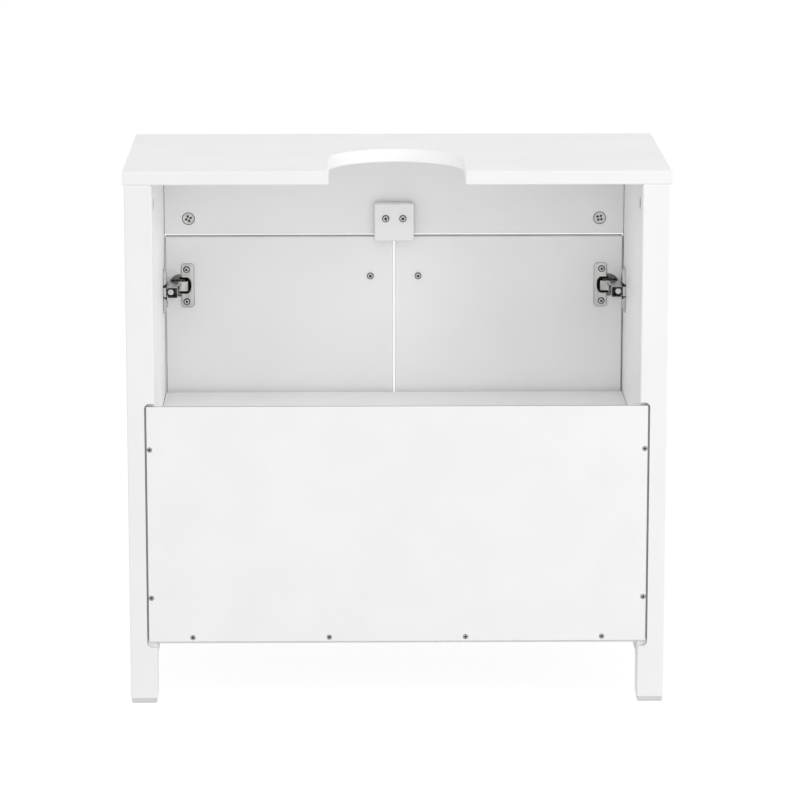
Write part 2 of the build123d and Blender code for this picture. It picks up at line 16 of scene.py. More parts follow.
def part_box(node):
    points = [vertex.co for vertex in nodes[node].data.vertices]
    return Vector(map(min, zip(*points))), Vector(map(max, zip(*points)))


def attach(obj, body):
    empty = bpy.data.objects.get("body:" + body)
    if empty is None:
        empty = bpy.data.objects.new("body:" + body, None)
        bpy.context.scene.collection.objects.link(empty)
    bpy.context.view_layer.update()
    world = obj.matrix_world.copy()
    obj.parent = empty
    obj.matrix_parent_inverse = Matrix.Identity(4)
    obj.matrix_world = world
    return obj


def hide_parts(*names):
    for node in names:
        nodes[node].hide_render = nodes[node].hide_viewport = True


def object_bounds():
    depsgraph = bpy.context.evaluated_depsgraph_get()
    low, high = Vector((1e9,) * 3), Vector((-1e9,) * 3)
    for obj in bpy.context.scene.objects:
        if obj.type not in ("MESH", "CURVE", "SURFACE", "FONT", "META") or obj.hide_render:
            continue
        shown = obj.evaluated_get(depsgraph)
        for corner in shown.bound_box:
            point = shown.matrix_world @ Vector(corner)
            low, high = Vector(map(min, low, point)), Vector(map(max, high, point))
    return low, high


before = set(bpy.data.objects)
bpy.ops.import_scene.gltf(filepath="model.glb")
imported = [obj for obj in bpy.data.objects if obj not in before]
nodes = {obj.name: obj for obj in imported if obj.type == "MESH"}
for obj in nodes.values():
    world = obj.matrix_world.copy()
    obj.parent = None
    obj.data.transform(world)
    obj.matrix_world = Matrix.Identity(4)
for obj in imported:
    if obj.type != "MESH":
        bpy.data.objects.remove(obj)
cad_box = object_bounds()
MM = 0.001
print("CAD nodes:", len(nodes), "box:", [tuple(round(v, 4) for v in corner) for corner in cad_box])

# %% [markdown]
# ## The camera
# The picture was taken from far away with a long lens, from a little above the top board. A long lens keeps
# upright edges nearly parallel, so two values are set together: the distance gives the slant of the top
# board, and the lens then gives the size in the frame.

# %% Camera
CAMERA_PLACE = (0.0552, 4.3205, 1.2176)
CAMERA_DOWN = 11.835  # degrees below the horizon
CAMERA_TURN = -0.8  # degrees off straight along -Y
FOCAL_PIXELS = 3858.0
FRAME_PIXELS = 800.0


def new_object(name, data):
    """An object with this data, in the scene."""
    thing = bpy.data.objects.new(name, data)
    bpy.context.scene.collection.objects.link(thing)
    return thing


camera_data = bpy.data.cameras.new("long_lens")
camera_data.sensor_width = 36.0
camera_data.lens = FOCAL_PIXELS / FRAME_PIXELS * camera_data.sensor_width
camera_data.clip_end = 200.0
camera = new_object("camera", camera_data)
down, turn = radians(CAMERA_DOWN), radians(CAMERA_TURN)
sight = Vector((sin(turn) * cos(down), -cos(turn) * cos(down), -sin(down)))
camera.location = CAMERA_PLACE
camera.rotation_euler = sight.to_track_quat("-Z", "Y").to_euler()
bpy.context.scene.camera = camera
print("lens:", round(camera_data.lens, 1), "mm")

# %% [markdown]
# ## Colours and nodes
# Colours are written as a paint chart gives them, as sRGB hex values, and Blender's shaders want linear
# light, so one function converts them. A second one adds any shader node with its settings, values and
# links, and a third starts a material.

# %% Helpers for materials
def linear(hex_colour):
    """An sRGB hex colour as linear RGBA."""
    channels = [int(hex_colour[i:i + 2], 16) / 255 for i in (1, 3, 5)]
    return tuple(c / 12.92 if c <= 0.04045 else ((c + 0.055) / 1.055) ** 2.4 for c in channels) + (1.0,)


def add_node(tree, kind, settings=None, values=None, links=None):
    """Adds one node: settings are its fields, values go on its sockets, links bring in other outputs."""
    node = tree.nodes.new(kind)
    for field, value in (settings or {}).items():
        setattr(node, field, value)
    for socket, value in (values or {}).items():
        node.inputs[socket].default_value = value
    for socket, output in (links or {}).items():
        tree.links.new(output, node.inputs[socket])
    return node


def empty_material(name):
    """A material with nothing in it but its output, and the place on the piece in metres."""
    material = bpy.data.materials.new(name)
    material.use_nodes = True
    tree = material.node_tree
    tree.nodes.clear()
    output = add_node(tree, "ShaderNodeOutputMaterial")
    where = add_node(tree, "ShaderNodeTexCoord").outputs["Object"]
    return material, tree, output, where


print("white as linear light:", [round(v, 3) for v in linear("#F0F0EF")])

# %% [markdown]
# ## Skins that vary
# No made surface is one flat colour. Every finish here drifts a little in colour over some centimetres,
# varies in gloss, and has a fine relief that breaks up its highlights. All three are the same kind of
# noise, and each finish gives the sizes that its own process leaves, in millimetres on the real surface. A
# noise texture repeats about once for each unit of its scale, so the scale is 1000 divided by the size.

# %% A varied skin
TONE_STOPS = (0.35, 0.65)  # noise gathers round 0.5, so the two shades sit close to it
NOISE_SPREAD = (0.3, 0.7)  # nearly all of the noise lies between these


def varied_skin(name, shades, cloud_mm, roughness, patch_mm, grain_mm, relief_mm,
                metallic=0.0, ior=1.5, stretch=(1.0, 1.0, 1.0)):
    """A finish that drifts between two shades and two roughnesses, with a fine relief."""
    material, tree, output, where = empty_material(name)
    place = add_node(tree, "ShaderNodeMapping", values={"Scale": stretch}, links={"Vector": where})

    def noise(size_mm, detail):
        return add_node(tree, "ShaderNodeTexNoise", values={"Scale": 1.0 / (size_mm * MM), "Detail": detail},
                        links={"Vector": place.outputs[0]}).outputs["Fac"]

    tone = add_node(tree, "ShaderNodeValToRGB", links={"Fac": noise(cloud_mm, 3.0)})
    for stop, at, shade in zip(tone.color_ramp.elements, TONE_STOPS, shades):
        stop.position, stop.color = at, linear(shade)
    gloss = add_node(tree, "ShaderNodeMapRange", links={"Value": noise(patch_mm, 2.0)},
                     values={"From Min": NOISE_SPREAD[0], "From Max": NOISE_SPREAD[1],
                             "To Min": roughness[0], "To Max": roughness[1]})
    relief = add_node(tree, "ShaderNodeBump", values={"Strength": 1.0, "Distance": relief_mm * MM},
                      links={"Height": noise(grain_mm, 2.0)})
    skin = add_node(tree, "ShaderNodeBsdfPrincipled", values={"Metallic": metallic, "IOR": ior},
                    links={"Base Color": tone.outputs[0], "Roughness": gloss.outputs[0],
                           "Normal": relief.outputs[0]})
    tree.links.new(skin.outputs[0], output.inputs["Surface"])
    return material, tree, skin


print("noise of 4 mm has a scale of", 1.0 / (4 * MM))

# %% [markdown]
# ## Shade in the joints
# Where two boards meet, their rounded edges leave a groove, and a door leaves a slot. Both hold shade, and
# read as thin dark lines. That shade is painted into the finish's colour: an ambient occlusion node measures
# how shut in a point is within a few millimetres. Two boards at a right angle leave half of that room open,
# so a plain inner corner gets a little painted shade and a groove much more.

# %% Darker joints
SHUT_IN, OPEN_ENOUGH = 0.3, 0.6  # share of open room: full shade below the first, none above the second
ROOM_SAMPLES = 12


def paint_joint_shade(tree, skin, reach_mm, darkest):
    """Paints shade: darkens the skin's colour where less than about half of the room within reach is open."""
    open_room = add_node(tree, "ShaderNodeAmbientOcclusion", {"samples": ROOM_SAMPLES},
                         {"Distance": reach_mm * MM})
    shade = add_node(tree, "ShaderNodeMapRange", links={"Value": open_room.outputs["AO"]},
                     values={"From Min": SHUT_IN, "From Max": OPEN_ENOUGH, "To Min": darkest, "To Max": 1.0})
    darker = add_node(tree, "ShaderNodeVectorMath", {"operation": "SCALE"},
                      links={0: skin.inputs["Base Color"].links[0].from_socket, "Scale": shade.outputs[0]})
    tree.links.new(darker.outputs[0], skin.inputs["Base Color"])


print("shaded below", OPEN_ENOUGH, "of open room")

# %% [markdown]
# ## White lacquer on fibreboard
# The boards are medium-density fibreboard with a sprayed satin lacquer. Spraying leaves orange peel, a soft
# dimpling about 2 mm apart and a few thousandths of a millimetre deep. Here a pixel is about 1 mm, so it is
# drawn at 4 mm to show at all. The lacquer is a neutral white, not quite pure, with the refractive index of
# a varnish, about 1.5.

# %% Lacquer
JOINT_SHADE = 0.4  # painted shade: colour left at the bottom of a joint
lacquer, tree, skin = varied_skin("sprayed_satin_lacquer", ("#F4F4F4", "#F7F7F7"), cloud_mm=120.0,
                                  roughness=(0.36, 0.46), patch_mm=40.0, grain_mm=4.0, relief_mm=0.012)
# painted shade in the joints and corners, darkening the lacquer's colour
paint_joint_shade(tree, skin, reach_mm=5.0, darkest=JOINT_SHADE)
print("made", lacquer.name)

# %% [markdown]
# ## White-coated hardboard
# The thin back panel is hardboard with a printed white coat, flatter, duller and slightly brighter than the
# lacquer, with the fibre texture of pressed wood pulp, about 1.5 mm, drawn at 3 mm so that it shows. Where
# the surface faces neither front nor back, the sawn edge shows the bare board.

# %% Hardboard
hardboard, tree, skin = varied_skin("coated_hardboard", ("#F5F5F5", "#F8F8F8"), cloud_mm=60.0,
                                    roughness=(0.5, 0.6), patch_mm=18.0, grain_mm=3.0, relief_mm=0.02)
BARE_BOARD = "#A5A19B"
COAT_STARTS, COAT_FULL = 0.3, 0.6  # how far the surface faces along Y, from 0 to 1
normal = add_node(tree, "ShaderNodeNewGeometry").outputs["Normal"]
facing = add_node(tree, "ShaderNodeSeparateXYZ", links={0: normal})
coated = add_node(tree, "ShaderNodeMath", {"operation": "ABSOLUTE"}, links={0: facing.outputs["Y"]})
on_face = add_node(tree, "ShaderNodeMapRange", values={"From Min": COAT_STARTS, "From Max": COAT_FULL},
                   links={0: coated.outputs[0]})
with_edges = add_node(tree, "ShaderNodeMix", {"data_type": "RGBA"}, {"A": linear(BARE_BOARD)},
                      {"Factor": on_face.outputs[0], "B": skin.inputs["Base Color"].links[0].from_socket})
tree.links.new(with_edges.outputs["Result"], skin.inputs["Base Color"])
# painted shade in the joints and corners, darkening the hardboard's colour
paint_joint_shade(tree, skin, reach_mm=3.0, darkest=JOINT_SHADE)
print("made", hardboard.name)

# %% [markdown]
# ## Bright nickel on pressed steel
# The hinges are pressed from steel strip and plated with bright nickel, a pale grey mirror. Strip keeps the
# faint lines of its rolling under the plate, so the relief is stretched along one direction. The inside of
# the cup and other hollows of the hinges get a near-black painted shade, and the plated ledge round the cup's
# mouth a dull grey painted shade.

# %% Nickel plate
nickel, _, _ = varied_skin("bright_nickel_plate", ("#B4B4B3", "#C8C8C6"), cloud_mm=9.0,
                           roughness=(0.16, 0.30), patch_mm=5.0, grain_mm=1.2, relief_mm=0.01,
                           metallic=1.0, stretch=(1.0, 1.0, 0.12))
# painted shade, near black, for hollows and gaps in the hinges
painted_shade_steel, _, _ = varied_skin("painted_shade_steel", ("#1C1B1A", "#34322F"), cloud_mm=4.0,
                                  roughness=(0.35, 0.55), patch_mm=3.0, grain_mm=0.8, relief_mm=0.02)
# painted shade, grey and dull, for the ledge and the flange's outline
nickel_painted_half_shade, _, _ = varied_skin("dull_nickel_plate", ("#6E6E6D", "#8C8C8A"), cloud_mm=5.0,
                                roughness=(0.3, 0.45), patch_mm=3.0, grain_mm=1.0, relief_mm=0.02, metallic=1.0)
print("made", nickel.name, painted_shade_steel.name, nickel_painted_half_shade.name)

# %% [markdown]
# ## Die-cast zinc and zinc-plated screws
# Cams are cast in zinc and tumbled to an even grey with tiny dents. Screws are drawn steel with a bluish
# zinc plate, brighter and smoother. A screwdriver recess holds shade, so its walls, and the rims of heads
# and cams, get a near-black zinc of painted shade.

# %% Zinc
cast_zinc, _, _ = varied_skin("tumbled_cast_zinc", ("#C6C6C5", "#D8D8D6"), cloud_mm=3.0,
                              roughness=(0.32, 0.5), patch_mm=1.5, grain_mm=0.7, relief_mm=0.03, metallic=1.0)
zinc_plate, _, _ = varied_skin("zinc_plated_steel", ("#D2D3D4", "#E2E2E3"), cloud_mm=2.0,
                               roughness=(0.2, 0.34), patch_mm=1.0, grain_mm=0.5, relief_mm=0.01, metallic=1.0)
# painted shade, near black, for recesses and rims of screws and cams
painted_shade_zinc, _, _ = varied_skin("zinc_painted_shade", ("#171717", "#2A2A29"), cloud_mm=1.5,
                                roughness=(0.5, 0.7), patch_mm=1.0, grain_mm=0.5, relief_mm=0.02)
print("made", cast_zinc.name, zinc_plate.name, painted_shade_zinc.name)

# %% [markdown]
# ## Grey moulded plastic
# The glides under the legs are moulded polypropylene, slightly waxy and dull, with the fine spark-eroded
# texture of the mould. Its refractive index is about 1.49.

# %% Plastic
grey_plastic, _, _ = varied_skin("moulded_polypropylene", ("#D6D6D4", "#DCDCDA"), cloud_mm=12.0,
                                 roughness=(0.48, 0.58), patch_mm=6.0, grain_mm=1.0, relief_mm=0.03, ior=1.49)
print("made", grey_plastic.name)

# %% [markdown]
# ## Fluted beech
# The dowels are seen only when the cabinet is taken apart. Beech is a pale warm wood with fine streaks, so
# the noise is stretched along its grain.

# %% Beech
beech, _, _ = varied_skin("fluted_beech", ("#B98E62", "#D2AB80"), cloud_mm=1.2, roughness=(0.6, 0.75),
                          patch_mm=2.0, grain_mm=0.8, relief_mm=0.05, stretch=(0.1, 0.1, 1.0))
print("made", beech.name)

# %% [markdown]
# ## Satin nickel, turned
# The knobs are turned brass with a satin nickel plate. The cutting tool leaves rings about 0.4 mm apart,
# drawn here at 0.8 mm, so the relief is a wave that runs outward from the knob's axis, its own Z.

# %% Turned nickel
turned_nickel, tree, skin = varied_skin("turned_satin_nickel", ("#B8B2A8", "#C6C1B8"), cloud_mm=14.0,
                                        roughness=(0.3, 0.38), patch_mm=8.0, grain_mm=1.5, relief_mm=0.008,
                                        metallic=1.0)
RING_MM = 0.8
WAVE_ANGLE = 20.0  # radians that the wave texture turns through in one unit of its scale
RING_DEPTH_MM = 0.004
knob_axes = add_node(tree, "ShaderNodeTexCoord").outputs["Object"]
rings = add_node(tree, "ShaderNodeTexWave", {"wave_type": "RINGS", "rings_direction": "Z"},
                 {"Scale": 2 * pi / (WAVE_ANGLE * RING_MM * MM), "Distortion": 0.6, "Detail": 1.0,
                  "Detail Scale": 2.0},
                 {"Vector": knob_axes})
turned_relief = add_node(tree, "ShaderNodeBump", values={"Strength": 1.0, "Distance": RING_DEPTH_MM * MM},
                         links={"Height": rings.outputs["Fac"],
                                "Normal": skin.inputs["Normal"].links[0].from_socket})
tree.links.new(turned_relief.outputs[0], skin.inputs["Normal"])
print("made", turned_nickel.name)

# %% [markdown]
# ## Dress the CAD pieces
# Boards, legs, doors, panel, glides, bolts, pins and dowels keep the CAD's exact shape. Each node's mesh
# has a material slot from the record, so the finish goes straight into it.

# %% Finishes on the CAD nodes
FINISHES = {
    lacquer: ("top_board", "_leg", "_side_panel", "front_rail", "bottom_board", "shelf",
              "door_stop_block", "_door"),
    hardboard: ("back_panel",),
    grey_plastic: ("_glide",),
    beech: ("_dowels",),
    zinc_plate: ("_connecting_bolts", "_screws", "_knob_screw"),
    cast_zinc: ("_cams",),
    nickel: ("_hinge_cup", "_hinge_arm", "_mounting_plate", "_hinge_pins"),
    turned_nickel: ("_knob",),
}
for name, node in nodes.items():
    finish = next(m for m, endings in FINISHES.items() if name.endswith(endings))
    node.data.materials.clear()
    node.data.materials.append(finish)
print("dressed", len(nodes), "nodes")

# %% [markdown]
# ## Turned blanks
# Small fittings are easiest to draw in millimetres, each in its own axes, and to set in place afterwards.
# One way of making them is to turn a profile about an axis, as on a lathe. A bmesh is Blender's workbench
# for this.

# %% Turning
def finished_mesh(bm, name):
    """A bmesh as a mesh, with its faces turned outward."""
    bmesh.ops.recalc_face_normals(bm, faces=bm.faces)
    mesh = bpy.data.meshes.new(name)
    bm.to_mesh(mesh)
    bm.free()
    return mesh


def lathe(profile, steps=48):
    """Turns a run of (radius, height) points, from axis to axis, about Z."""
    bm = bmesh.new()
    rings = []
    for radius, height in profile:
        count = steps if radius > 1e-6 else 1
        rings.append([bm.verts.new((radius * cos(2 * pi * i / steps), radius * sin(2 * pi * i / steps), height))
                      for i in range(count)])
    for low, high in zip(rings, rings[1:]):
        for i in range(steps):
            j = i + 1
            corners = (low[i % len(low)], low[j % len(low)], high[j % len(high)], high[i % len(high)])
            bm.faces.new(dict.fromkeys(corners))
    return finished_mesh(bm, "turned")


print("a turned disc has", len(lathe([(0, 0), (1, 0), (1, 1), (0, 1)]).polygons), "faces")

# %% [markdown]
# ## Flat blanks
# The other way is a flat outline that gets a thickness, as a sheet or a bar does. Each corner point carries
# its radius. The arc touches both sides of the corner, and its middle lies on the line that halves the
# angle.

# %% Outlines and slabs
def rounded(points, steps=5):
    """A closed outline of (x, y, corner radius) points, with its corners rounded."""
    outline = []
    for k, (x, y, radius) in enumerate(points):
        if radius == 0:
            outline.append((x, y))
            continue
        here = Vector((x, y))
        before = (Vector(points[k - 1][:2]) - here).normalized()
        after = (Vector(points[(k + 1) % len(points)][:2]) - here).normalized()
        half = before.angle(after) / 2
        middle = here + (before + after).normalized() * (radius / sin(half))
        start = here + before * (radius / tan(half)) - middle
        end = here + after * (radius / tan(half)) - middle
        sweep = atan2(start.x * end.y - start.y * end.x, start.dot(end))
        first = atan2(start.y, start.x)
        turns = [first + sweep * i / steps for i in range(steps + 1)]
        outline += [(middle.x + radius * cos(turn), middle.y + radius * sin(turn)) for turn in turns]
    return outline


def slab(outline, low, high, other=None):
    """A flat outline with a thickness from low to high along Z. It tapers if it has another outline at high."""
    bm = bmesh.new()
    lower = [bm.verts.new((x, y, low)) for x, y in outline]
    upper = [bm.verts.new((x, y, high)) for x, y in other or outline]
    bm.faces.new(lower)
    bm.faces.new(upper)
    for i in range(len(outline)):
        j = (i + 1) % len(outline)
        bm.faces.new((lower[i], lower[j], upper[j], upper[i]))
    return finished_mesh(bm, "slab")


def box(x, y, z, near=0, far=0):
    """A box between limits. The edges along Z can be rounded: near at the low end of Y, far at the high end."""
    return slab(rounded([(x[0], y[0], near), (x[1], y[0], near), (x[1], y[1], far), (x[0], y[1], far)]), *z)


print("a box with round edges has", len(box((0, 9), (0, 9), (0, 9), 1, 1).polygons), "faces")

# %% [markdown]
# ## Working a blank
# A modifier does to a mesh what a tool does to a blank: Boolean cuts or welds, Bevel breaks the sharp
# edges. The result is kept straight away.

# %% Cutting, welding and softening
def worked(mesh, kind, **settings):
    """The mesh after one modifier."""
    blank = new_object("blank", mesh)
    modifier = blank.modifiers.new("work", kind)
    for field, value in settings.items():
        setattr(modifier, field, value)
    bpy.context.view_layer.update()
    result = bpy.data.meshes.new_from_object(blank.evaluated_get(bpy.context.evaluated_depsgraph_get()))
    bpy.data.objects.remove(blank)
    return result


def cut(mesh, *tools, operation="DIFFERENCE"):
    """Takes each tool's shape out of the mesh, or welds or keeps it, by the operation."""
    for tool in tools:
        cutter = new_object("cutter", tool)
        mesh = worked(mesh, "BOOLEAN", object=cutter, operation=operation, solver="EXACT")
        bpy.data.objects.remove(cutter)
    return mesh


def soften(mesh, width, segments=2):
    """Rounds the edges that turn by more than 40 degrees."""
    return worked(mesh, "BEVEL", width=width, segments=segments, limit_method="ANGLE", angle_limit=radians(40),
                  use_clamp_overlap=True)


print("a softened box has", len(soften(box((0, 9), (0, 9), (0, 9)), 1.0).polygons), "faces")

# %% [markdown]
# ## Shading and painting
# Smooth shading blends the light across small faces, which makes a turned part look round. Broad flats and
# sharp edges must stay crisp, or their highlights smear. A second finish can be given to some faces, picked
# by where their middle lies.

# %% Smooth faces and second finishes
FLAT_AREA = 12.0  # square millimetres; larger faces are flats, and stay flat


def smooth(mesh, sharp_degrees=35.0):
    """Smooth shading, except on flat faces and across edges sharper than this."""
    bm = bmesh.new()
    bm.from_mesh(mesh)
    for face in bm.faces:
        face.smooth = len(face.verts) <= 4 and face.calc_area() < FLAT_AREA
    for edge in bm.edges:
        edge.smooth = len(edge.link_faces) == 2 and edge.calc_face_angle(pi) < radians(sharp_degrees)
    bm.to_mesh(mesh)
    bm.free()
    return mesh


def paint(mesh, finish, test):
    """Gives a finish, by its number, to the faces whose middle passes the test."""
    for face in mesh.polygons:
        if test(face.center):
            face.material_index = finish
    return mesh


print("faces over", FLAT_AREA, "square millimetres stay flat")

# %% [markdown]
# ## Setting pieces in place
# A place takes a fitting's own millimetres to the cabinet's metres. Copies of one fitting on one body are
# joined into one piece, which then stands for the CAD node that held them.

# %% Places and pieces
ALONG_X = Matrix(((0, 0, 1, 0), (1, 0, 0, 0), (0, 1, 0, 0), (0, 0, 0, 1)))  # own Z goes to X
ALONG_Y = Matrix(((0, 1, 0, 0), (0, 0, 1, 0), (1, 0, 0, 0), (0, 0, 0, 1)))  # own Z goes to Y


def moved(mesh, matrix):
    """The mesh itself, moved or turned."""
    mesh.transform(matrix)
    return mesh


def place(point, z_axis, x_axis):
    """A point in metres, with a fitting's own Z and X axes there."""
    z, x = Vector(z_axis).normalized(), Vector(x_axis).normalized()
    return Matrix.Translation(point) @ Matrix((x, z.cross(x), z)).transposed().to_4x4() @ Matrix.Scale(MM, 4)


def fit(name, copies, body, finishes, slot, *stands_for):
    """Joins (mesh, place) copies into one piece, which rides on a body and stands for CAD nodes."""
    bm = bmesh.new()
    for mesh, spot in copies:
        first = len(bm.verts)
        bm.from_mesh(mesh)
        bm.verts.ensure_lookup_table()
        bmesh.ops.transform(bm, matrix=spot, verts=bm.verts[first:])
    mesh = bpy.data.meshes.new(name)
    bm.to_mesh(mesh)
    bm.free()
    piece = new_object(name, mesh)
    for finish in finishes:
        mesh.materials.append(finish)
    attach(piece, body)
    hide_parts(*stands_for)
    print(f"{name}: {len(copies)} on {body}, {len(mesh.polygons)} faces")


print("own Z goes to", ALONG_X.col[2][:3], "or", ALONG_Y.col[2][:3])

# %% [markdown]
# ## The places, read from the frame
# Each fitting belongs to a board, so its place is read from that board's box in the CAD frame. A hinge has
# axes of its own: u from the cabinet's side into the cabinet, v from the doors' front towards the back, and
# w up or down from the hinge's middle.

# %% Places
SIDES = {"left": -1, "right": 1}
side_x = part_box("right_side_panel")[0].x
front_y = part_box("right_door")[0].y
door_back_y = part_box("right_door")[1].y
knob_place = {name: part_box(f"{name}_knob_screw") for name in SIDES}
hinges = {}
for name, side in SIDES.items():
    for level in ("lower", "upper"):
        low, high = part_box(f"{name}_{level}_hinge_cup")
        at = (side * side_x, front_y, (low.z + high.z) / 2)
        hinges[name, level] = place(at, (0, 0, -side), (-side, 0, 0))
print("hinge middles at z", [round(spot.translation.z, 4) for spot in hinges.values()])

# %% [markdown]
# ## A driver's blade
# The cross in a screw head narrows towards its bottom, as the driver does. So each blade of the punch that
# makes it is a tapered box, and two of them are cut one after the other. The same blade, with other sizes,
# makes the cross and the pockets in the cams.

# %% Driver blade
BLADE_ABOVE = 0.4  # millimetres over the face, so that the cut is clean
CORNERS = ((-1, -1), (1, -1), (1, 1), (-1, 1))


def blade(length, width, depth, turn):
    """One tapered blade of a cross-head driver, pointing down from the head's face."""
    wide, narrow = ([(x * across, y * thick) for x, y in CORNERS]
                    for across, thick in ((length / 2, width / 2), (length / 4, width / 3.2)))
    return moved(slab(wide, BLADE_ABOVE, -depth, narrow), Matrix.Rotation(turn, 4, "Z"))


print("a driver blade has", len(blade(4.0, 1.5, 1.2, 0.0).polygons), "faces")

# %% [markdown]
# ## Cross-head screws
# Every head is turned from its own profile, and three kinds get the same cross. A pan head stands on a
# face, a sunk head lies flush, and the raised heads of the thin back panel are wide and slightly domed. The
# recess and the sloping rim get the near-black zinc as painted shade: on the rim it stands for the shade
# that the rim mirrors, a dark ring about each bright face.

# %% Cross-head screws
HEAD_STEPS = 40
SCREW_POINT = 2.5  # length of the point
WALL_FROM, WALL_TO = 0.12, 0.2  # painted shade in the recess: from this far under the face to this far past its floor


def cross_head(profile, top, size, rim, turn):
    """A turned screw with a cross in its head. Its face is at the height top and ends at a rim of painted
    shade.
    """
    length, width, depth = size
    head = smooth(lathe(profile, HEAD_STEPS), 50.0)
    tools = [moved(blade(length, width, depth, turn + quarter), Matrix.Translation((0, 0, top)))
             for quarter in (0, pi / 2)]
    # painted shade in the recess, then on the rim
    head = paint(cut(head, *tools), 1, lambda c: top - depth - WALL_TO < c.z < top - WALL_FROM
                 and c.xy.length < length * 0.4)
    return paint(head, 1, lambda c: c.xy.length > rim)


def pan_head(radius, height, shank, length, turn):
    """A domed head on a straight shank with a short point."""
    profile = [(0, height), (radius * 0.6, height), (radius * 0.74, height * 0.94),
               (radius * 0.92, height * 0.62), (radius, height * 0.25), (radius * 0.98, 0),
               (shank, 0), (shank, SCREW_POINT - length), (0, -length)]
    return cross_head(profile, height, (radius * 1.2, radius * 0.42, height * 0.7), radius * 0.74, turn)


def sunk_head(radius, height, shank, length, turn):
    """A countersunk head, flush with the face it is driven into."""
    face = 0.12
    profile = [(0, face), (radius * 0.6, 0.1), (radius * 0.86, 0.05), (radius * 0.98, -0.1), (radius, -0.2),
               (shank, -height), (shank, SCREW_POINT - length), (0, -length)]
    return cross_head(profile, face, (radius * 1.4, radius * 0.5, height * 0.9), radius * 0.88, turn)


def raised_head(radius, height, shank, length, turn):
    """A countersunk head with a low dome, wide enough to cover its hole."""
    dome = 0.4
    profile = [(0, dome), (radius * 0.5, 0.37), (radius * 0.78, 0.26), (radius * 0.94, 0.12), (radius, 0.03),
               (radius * 0.94, -0.1), (shank, -height), (shank, SCREW_POINT - length), (0, -length)]
    return cross_head(profile, dome, (radius * 1.4, radius * 0.6, height), radius * 0.84, turn)


print("a pan-head screw has", len(pan_head(4.0, 2.0, 1.8, 27.0, 0.0).polygons), "faces")

# %% [markdown]
# ## Clamping heads and setting screws
# The screw at the back of each hinge has a wide round head with a dish. Screws driven by hand never line
# up, so each copy is turned on from the last by the golden angle.

# %% Setting screws
GOLDEN_TURN = 2.39996  # radians
DISH_DEPTH = 0.7


def dished_head(radius, height, shank, length, turn):
    """A round clamping head with a shallow dish instead of a cross."""
    profile = [(0, height - DISH_DEPTH), (radius * 0.3, height - DISH_DEPTH), (radius * 0.42, height),
               (radius * 0.8, height), (radius * 0.95, height * 0.8), (radius, height * 0.5), (radius, 0),
               (shank, 0), (shank, SCREW_POINT - length), (0, -length)]
    return moved(smooth(lathe(profile, HEAD_STEPS)), Matrix.Rotation(turn, 4, "Z"))


def screws(name, make, size, spots, body, *stands_for):
    """Sets screws of one size (head radius, head height, shank radius, length) at several places."""
    copies = [(make(*size, GOLDEN_TURN * (i + 1)), spot) for i, spot in enumerate(spots)]
    fit(name, copies, body, (zinc_plate, painted_shade_zinc), "screw_steel", *stands_for)


print("each copy is turned on by", GOLDEN_TURN, "radians")

# %% [markdown]
# ## Screws in the boards
# The back panel hangs on eight small raised countersunk screws, two in each back leg and four along the
# lower edge. Two pan-head screws hold the stop block, and one holds each knob through its door.

# %% Back panel's screws
BACK, ACROSS = (0, 1, 0), (1, 0, 0)
PANEL_SCREW = (2.9, 1.2, 1.3, 14.0)  # head radius and height, shank radius, length
panel_low, panel_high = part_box("back_panel")
PANEL_SCREW_EDGE = 3.0  # panel's side edge to its screws
PANEL_SCREW_UP = (50.0, 219.0)  # panel's lower edge to the side screws
PANEL_SCREW_REACH = 228.0  # cabinet's middle to the outer screws of the lower edge
PANEL_SCREW_RISE = 4.5
panel_spots = [(side * (panel_high.x - PANEL_SCREW_EDGE * MM), panel_high.y, panel_low.z + up * MM)
               for side in (-1, 1) for up in PANEL_SCREW_UP]
panel_spots += [(PANEL_SCREW_REACH * MM * k / 3, panel_high.y, panel_low.z + PANEL_SCREW_RISE * MM)
                for k in (-3, -1, 1, 3)]
screws("panel_screws", raised_head, PANEL_SCREW, [place(p, BACK, ACROSS) for p in panel_spots],
       "cabinet", "back_panel_screws")

# %% Stop block's and knobs' screws
STOP_SCREW = (4.2, 2.0, 1.8, 27.0)
KNOB_SCREW = (4.0, 2.2, 2.0, 26.0)
CAD_SCREW_RADIUS = 4.0  # from the node's box to a screw's axis
stop_low, stop_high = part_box("stop_block_screws")
stop_spots = [(x, stop_high.y - STOP_SCREW[1] * MM, (stop_low.z + stop_high.z) / 2)
              for x in (stop_low.x + CAD_SCREW_RADIUS * MM, stop_high.x - CAD_SCREW_RADIUS * MM)]
screws("stop_screws", pan_head, STOP_SCREW, [place(p, BACK, ACROSS) for p in stop_spots],
       "cabinet", "stop_block_screws")

for name in SIDES:
    low, high = knob_place[name]
    spot = ((low.x + high.x) / 2, door_back_y, (low.z + high.z) / 2)
    screws(f"{name}_knob_bolt", pan_head, KNOB_SCREW, [place(spot, BACK, ACROSS)],
           f"{name}_leaf", f"{name}_knob_screw")

# %% [markdown]
# ## Cams
# A cam is a 15 mm drum of cast zinc let into a board. Its face has a rounded rim, a shallow cross with four
# deeper pockets for the screwdriver, and a small arrow. The mouth in its side takes the head of the
# connecting bolt.

# %% Cam shape
CAM_RADIUS, CAM_HEIGHT, CAM_AXIS = 7.4, 12.0, 7.5  # the bolt's axis is this deep under the face
CAM_MOUTH = 3.8  # half of the mouth's width
CAM_CROSS, CAM_POCKET = (6.8, 1.7, 0.9), (3.3, 2.5, 2.6)  # length, width and depth
POCKET_OUT = 2.7  # cam's middle to a pocket's
DARK_RIM = 6.85  # outside this radius the rim gets painted shade
